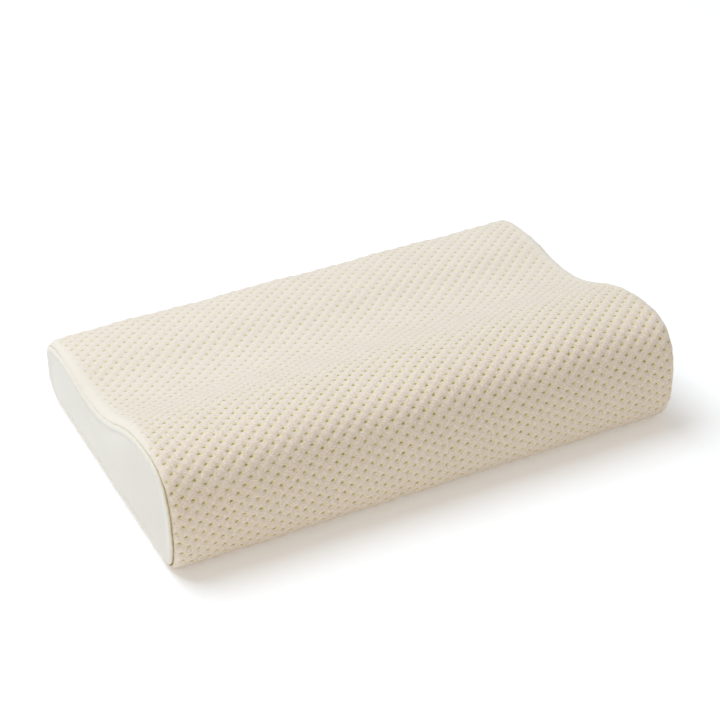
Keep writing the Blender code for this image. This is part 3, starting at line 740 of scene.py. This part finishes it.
# ------------------------------------------------------------------ zip
# A nylon coil zip along the back: two woven tapes under the edges of the slot, two coils sewn to
# them, and moulded stops. Two rows of cream lockstitch hold the cover's hems down on the tapes.
COIL_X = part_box("zip_coil_upper")[1].x
COIL_PITCH = 0.00125
COIL_WIRE = 0.00027  # half the wire's thickness
COIL_MESH = 0.0004  # how far each row's loops reach past the middle, between the other row's
COIL_STEPS = 14
HEM_STITCH = 0.0029
HEM_GAP = 0.0005
HEM_THREAD = 0.00034  # half the thread's thickness
HEM_LIFT, HEM_SINK = 0.00002, 0.0011
HEM_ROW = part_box("zip_stitch_upper")


def tape_finish():
    finish, add, join = start_finish("woven_tape", 0.75, 0.15)
    place = add("NewGeometry")
    warp = add("TexWave", {"Vector": place, "Scale": 500.0, "Distortion": 0.3},
               out=1, bands_direction="DIAGONAL")
    weft = add("TexWave", {"Vector": place, "Scale": 640.0, "Distortion": 0.3},
               out=1, bands_direction="X")
    weave = add("Math", {0: warp, 1: weft}, operation="MULTIPLY")
    join(blend(add, weave, tone(226, 219, 204), tone(240, 234, 222)), "Base Color")
    join(add("Bump", {"Strength": 0.5, "Distance": 0.00012, "Height": weave}), "Normal")
    return finish


def nylon_finish():
    finish, add, join = start_finish("satin_nylon", 0.38)
    place = add("NewGeometry")
    cloud = add("TexNoise", {"Vector": place, "Scale": 120.0, "Detail": 2.0})
    join(blend(add, cloud, tone(238, 231, 216), tone(228, 220, 203)), "Base Color")
    join(add("Bump", {"Strength": 0.2, "Distance": 0.00004, "Height": cloud}), "Normal")
    return finish


TAPE = tape_finish()
NYLON = nylon_finish()
CREAM = thread_finish("cream_thread", tone(236, 226, 204), tone(216, 203, 176))


def round_edges(piece, name, width, segments):
    """Takes the sharpness off a piece's edges, as its mould does."""
    edges = piece.modifiers.new(name, "BEVEL")
    edges.width = width
    edges.segments = segments
    edges.limit_method = "ANGLE"


for node in ("zip_top_stop_upper", "zip_top_stop_lower", "zip_bottom_stop"):
    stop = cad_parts[node]
    stop.data.materials.clear()
    stop.data.materials.append(NYLON)
    round_edges(stop, "moulded_edges", 0.0003, 3)

# Each tape is woven with a thicker selvedge along its coil, and its flat part buckles very slightly.
# It lies flat behind the slot and then turns with the pillow's back.
WEAVE = 0.0006
TAPE_FLAT = 0.0092
SELVEDGE = 0.0012
BUCKLE, BUCKLE_LENGTH = 0.00006, 0.031
half = WEAVE / 2 - BUCKLE
for row, up in (("upper", 1), ("lower", -1)):
    low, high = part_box("zip_tape_" + row)
    inner_z, outer_z = (low.z, high.z) if up > 0 else (high.z, low.z)
    fold_z = inner_z + up * np.array([0, 0.0001, 0.0004, SELVEDGE - 0.0003, SELVEDGE])
    flat_z = np.linspace(fold_z[-1] + up * 0.0003, outer_z - up * 0.0002, 8)
    face_z = np.concatenate([fold_z, flat_z, [outer_z]])
    rise = half * np.concatenate([[0.3, 0.8, 1, 1, 0.8], np.full(8, 0.75), [0.3]])
    tape_x = np.linspace(low.x, high.x, 240)[:, None]
    buckle = BUCKLE * np.sin(2 * pi * tape_x / BUCKLE_LENGTH + up)
    buckle = buckle * smooth_step(SELVEDGE, 0.005, np.abs(face_z - inner_z))
    turn_z = inner_z + up * TAPE_FLAT
    turned = np.clip((face_z - turn_z) / (outer_z - turn_z), 0, 1)
    flat_y, edge_y = high.y - WEAVE / 2, low.y + WEAVE / 2
    middle_y = flat_y + (edge_y - flat_y) * turned + buckle
    outer_face = np.stack(np.broadcast_arrays(tape_x, middle_y + rise, face_z), -1)
    inner_face = np.stack(np.broadcast_arrays(tape_x, middle_y - rise, face_z), -1)
    strip = np.concatenate([outer_face, inner_face[:, ::-1]], axis=1)
    faces = net(*strip.shape[:2], closed_columns=True).tolist()
    faces += [range(strip.shape[1]), range(strip.size // 3 - strip.shape[1], strip.size // 3)]
    make_piece("zip_tape_cloth_" + row, strip, faces, TAPE, "pillow", ["zip_tape_" + row])

turns = int(2 * COIL_X / COIL_PITCH)
for row, up in (("upper", 1), ("lower", -1)):
    low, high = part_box("zip_coil_" + row)
    near_z, far_z = (ZIP_Z - up * COIL_MESH, high.z if up > 0 else low.z)
    half_z, half_y = abs(far_z - near_z) / 2 - COIL_WIRE, (high.y - low.y) / 2 - COIL_WIRE
    angle = np.arange(turns * COIL_STEPS + 1) * 2 * pi / COIL_STEPS
    squareness = 1 / (np.abs(np.cos(angle)) ** 4 + np.abs(np.sin(angle)) ** 4) ** 0.25
    x = -COIL_X + COIL_WIRE + (angle / (2 * pi) + (0.5 if up > 0 else 0)) * COIL_PITCH
    x = np.minimum(x, COIL_X - COIL_WIRE)
    y = (low.y + high.y) / 2 + half_y * np.sin(angle) * squareness
    z = (near_z + far_z) / 2 + up * half_z * np.cos(angle) * squareness
    coil = np.stack([x, y, z], -1)[None]
    thread("zip_coil_row_" + row, coil, (1, 0, 0), COIL_WIRE, NYLON, ["zip_coil_" + row])

share, sink = stitch_arc(7)
long = HEM_ROW[1].x - HEM_ROW[0].x
count = int(long / (HEM_STITCH + HEM_GAP))
for row, up in (("upper", 1), ("lower", -1)):
    x = HEM_ROW[0].x + np.arange(count)[:, None] * long / count + share * HEM_STITCH
    s = -up * (SLOT_HALF + STITCH_FROM_SLOT) + 0 * x
    middle = on_layer(x, s, HEM_LIFT - HEM_SINK * sink)
    ups = on_layer(x, s, 0.001) - on_layer(x, s, 0.0)
    radius = HEM_THREAD * (1 - 0.3 * sink)
    thread("hem_stitches_" + row, middle, ups, radius, CREAM, ["zip_stitch_" + row])


# ------------------------------------------------------------------ slider and pull
# Die-cast zinc in baked cream enamel. The slider's two plates run round the coils, and the pull's
# eye turns under its bail. The enamel is thinnest, and a little darker, along the edges.
def enamel_finish():
    finish, add, join = start_finish("cream_enamel", 0.28)
    finish.node_tree.nodes["Principled BSDF"].inputs["Coat Weight"].default_value = 0.4
    geometry = add("NewGeometry").node
    cloud = add("TexNoise", {"Vector": geometry.outputs[0], "Scale": 300.0, "Detail": 2.0})
    worn = add("MapRange", {0: geometry.outputs[7], 1: 0.52, 2: 0.62})
    ground = blend(add, cloud, tone(232, 224, 208), tone(224, 215, 197))
    join(blend(add, worn, ground, tone(196, 186, 166)), "Base Color")
    join(add("Bump", {"Strength": 0.15, "Distance": 0.00003, "Height": cloud}), "Normal")
    return finish


ENAMEL = enamel_finish()
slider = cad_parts["zip_slider"]
slider.data.materials.clear()
slider.data.materials.append(ENAMEL)
round_edges(slider, "cast_edges", 0.00022, 2)

PULL_LOW, PULL_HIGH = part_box("zip_pull")
PULL_Y, PULL_Z = (PULL_LOW.y + PULL_HIGH.y) / 2, (PULL_LOW.z + PULL_HIGH.z) / 2
EYE_WALL = 0.0003  # more than the corner rounding of the tab's outside, less than its bars
RIM = 0.0011  # width of the tab's raised rim
SUNK = 0.0002  # depth of the panel inside it
TAB_CORNER, EYE_CORNER, RIM_CORNER, SUNK_CORNER = 0.0012, 0.0004, 0.0008, 0.0006


def inside_tab(p):
    in_x = PULL_LOW.x + EYE_WALL < p.x < PULL_HIGH.x - EYE_WALL
    return in_x and PULL_LOW.z + EYE_WALL < p.z < PULL_HIGH.z - EYE_WALL


eye_points = [v.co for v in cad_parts["zip_pull"].data.vertices if inside_tab(v.co)]
eye_x = min(p.x for p in eye_points), max(p.x for p in eye_points)
eye_half = max(abs(p.z - PULL_Z) for p in eye_points)
pull_shape = bmesh.new()


def tab_ring(x_low, x_high, z_half, corner, y):
    """A rounded rectangle in one plane across the tab, as a closed loop of points."""
    ring = []
    for k, (x, z) in enumerate(((x_high, z_half), (x_low, z_half), (x_low, -z_half), (x_high, -z_half))):
        x += corner if x == x_low else -corner
        z += corner if z < 0 else -corner
        for a in np.linspace(k * pi / 2, (k + 1) * pi / 2, 5):
            ring.append(pull_shape.verts.new((x + corner * cos(a), y, PULL_Z + z + corner * sin(a))))
    return ring


def tab_wall(first, second):
    for k in range(len(first)):
        pull_shape.faces.new((first[k - 1], first[k], second[k], second[k - 1]))


half_tab = (PULL_HIGH.z - PULL_LOW.z) / 2
outsides, eyes = [], []
for side in (-1, 1):
    face_y = PULL_Y + side * (PULL_HIGH.y - PULL_LOW.y) / 2
    outside = tab_ring(PULL_LOW.x, PULL_HIGH.x, half_tab, TAB_CORNER, face_y)
    eye = tab_ring(*eye_x, eye_half, EYE_CORNER, face_y)
    window = (eye_x[1] + 1.3 * RIM, PULL_HIGH.x - RIM, half_tab - RIM)
    rim = tab_ring(*window, RIM_CORNER, face_y)
    inner_window = (window[0] + SUNK, window[1] - SUNK, window[2] - SUNK)
    panel = tab_ring(*inner_window, SUNK_CORNER, face_y - side * SUNK)
    loops = [pull_shape.edges.new((ring[k - 1], ring[k]))
             for ring in (outside, eye, rim) for k in range(len(ring))]
    bmesh.ops.triangle_fill(pull_shape, edges=loops, use_beauty=True)
    tab_wall(rim, panel)
    pull_shape.faces.new(panel)
    outsides.append(outside)
    eyes.append(eye)
tab_wall(*outsides)
tab_wall(*eyes)
bmesh.ops.recalc_face_normals(pull_shape, faces=pull_shape.faces)
pull_mesh = bpy.data.meshes.new("zip_pull_tab")
pull_shape.to_mesh(pull_mesh)
pull_shape.free()
pull_mesh.materials.append(ENAMEL)
pull = bpy.data.objects.new("zip_pull_tab", pull_mesh)
bpy.context.scene.collection.objects.link(pull)
round_edges(pull, "cast_edges", 0.0002, 2)
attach(pull, "pull")
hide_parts("zip_pull")


# ------------------------------------------------------------------ care label
# A blank white satin ribbon, folded double and caught in the right end seam. It hangs down over the
# end panel and curls a little away from it.
LABEL_LOW, LABEL_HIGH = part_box("care_label")
LABEL_COLUMNS = 14
LABEL_ROWS = 18
RIBBON = 0.00022  # the ribbon's thickness
RIBBON_CURL = 0.0016  # how far its lower end stands off
RIBBON_OFF = 0.0004  # from the panel to the inner layer
RIBBON_FOLD = 0.0005  # how far the fold hangs below the layers


def satin_finish():
    finish, add, join = start_finish("white_satin", 0.35, 0.1)
    place = add("NewGeometry")
    threads = add("TexWave", {"Vector": place, "Scale": 900.0, "Distortion": 0.2},
                  out=1, bands_direction="Z")
    cloud = add("TexNoise", {"Vector": place, "Scale": 60.0})
    join(blend(add, cloud, tone(247, 246, 243), tone(238, 237, 233)), "Base Color")
    join(add("Bump", {"Strength": 0.25, "Distance": 0.00005, "Height": threads}), "Normal")
    return finish


behind = BVHTree.FromPolygons([v.co for v in panels["right"].data.vertices],
                              [tuple(p.vertices) for p in panels["right"].data.polygons])
groove_x = ROUND_X + END_ROUND * sin(radians(57))  # just past the seam's stitches
label_y = np.linspace(LABEL_LOW.y, LABEL_HIGH.y, LABEL_COLUMNS)
label_z = np.linspace(LABEL_HIGH.z, LABEL_LOW.z, LABEL_ROWS)


def label_layer(lift):
    """One layer of the ribbon over the panel, this far off it."""
    layer = np.zeros((LABEL_ROWS, LABEL_COLUMNS, 3))
    for i, z in enumerate(label_z):
        fall = i / (LABEL_ROWS - 1)
        for j, y in enumerate(label_y):
            hit = behind.ray_cast(Vector((groove_x + 0.05, y, z)), Vector((-1, 0, 0)))[0]
            x = max(hit.x, groove_x) if hit else groove_x
            curl = RIBBON_CURL * fall**2 * (1 + 0.3 * sin(j * 0.35))
            layer[i, j] = (x + lift * min(1, 4 * fall + 0.3) + curl, y, z)
    return layer


inner, outer = label_layer(RIBBON_OFF), label_layer(RIBBON_OFF + 3 * RIBBON)
middle, spread = (inner[-1] + outer[-1]) / 2, (outer[-1] - inner[-1]) / 2
hang = Vector((0, 0, RIBBON_FOLD))
turned = [middle - spread * cos(a) - hang * sin(a) for a in np.linspace(0, pi, 6)[1:-1]]
ribbon = np.concatenate([inner, np.array(turned), outer[::-1]])
label = make_piece("care_label_ribbon", ribbon, net(len(ribbon), LABEL_COLUMNS), satin_finish(),
                   "pillow", ["care_label"])
thick = label.modifiers.new("ribbon", "SOLIDIFY")
thick.thickness = RIBBON
thick.offset = 0.0


# ------------------------------------------------------------------ studio
# A plain white floor that glows a little, so that shadows stay soft, under a broad lamp from above
# and behind. A small warm fill stands at the front left.
FLOOR_HALF = 40.0
FLOOR_Z = -0.0004


def lamp(name, place, aim, size, power, colour):
    data = bpy.data.lights.new(name, "AREA")
    data.shape = "DISK"
    data.size = size
    data.energy = power
    data.color = colour
    made = bpy.data.objects.new(name, data)
    made.location = place
    made.rotation_euler = (Vector(aim) - Vector(place)).to_track_quat("-Z", "Y").to_euler()
    bpy.context.scene.collection.objects.link(made)


floor_corners = [(x * FLOOR_HALF, y * FLOOR_HALF, FLOOR_Z) for x, y in ((-1, -1), (1, -1), (1, 1), (-1, 1))]
floor_mesh = bpy.data.meshes.new("floor")
floor_mesh.from_pydata(floor_corners, [], [(0, 1, 2, 3)])
floor = bpy.data.objects.new("floor", floor_mesh)
bpy.context.scene.collection.objects.link(floor)
paper = bpy.data.materials.new("white_paper")
paper.use_nodes = True
paper_shader = paper.node_tree.nodes["Principled BSDF"].inputs
paper_shader["Base Color"].default_value = (0.92, 0.92, 0.92, 1)
paper_shader["Roughness"].default_value = 1.0
paper_shader["Emission Color"].default_value = (1.0, 1.0, 1.0, 1)
paper_shader["Emission Strength"].default_value = 0.15
floor_mesh.materials.append(paper)

sky = bpy.data.worlds.new("studio")
sky.use_nodes = True
sky.node_tree.nodes["Background"].inputs["Color"].default_value = (1.0, 0.96, 0.905, 1)
sky.node_tree.nodes["Background"].inputs["Strength"].default_value = 0.51
bpy.context.scene.world = sky
lamp("top_lamp", (-0.7, 1.0, 2.5), (0, 0, 0), 2.0, 59, (0.81, 0.905, 1.0))
lamp("front_fill", (-1.3, -1.3, 0.5), (0, 0, 0.05), 1.2, 2.8, (1.0, 0.76, 0.48))
bpy.context.scene.view_settings.view_transform = "Standard"

# The camera looks down on the tall front lobe from the front left.
AZIMUTH, ELEVATION = radians(-27.232), radians(34.149)
AIM = Vector((0.0055, 0.0015, 0.0481))
AWAY = 1.766
lens = bpy.data.cameras.new("camera")
lens.sensor_width = 36
lens.lens = 95.63
camera = bpy.data.objects.new("camera", lens)
back = Vector((sin(AZIMUTH) * cos(ELEVATION), -cos(AZIMUTH) * cos(ELEVATION), sin(ELEVATION)))
camera.location = AIM + back * AWAY
camera.rotation_euler = back.to_track_quat("Z", "Y").to_euler()
bpy.context.scene.collection.objects.link(camera)
bpy.context.scene.camera = camera
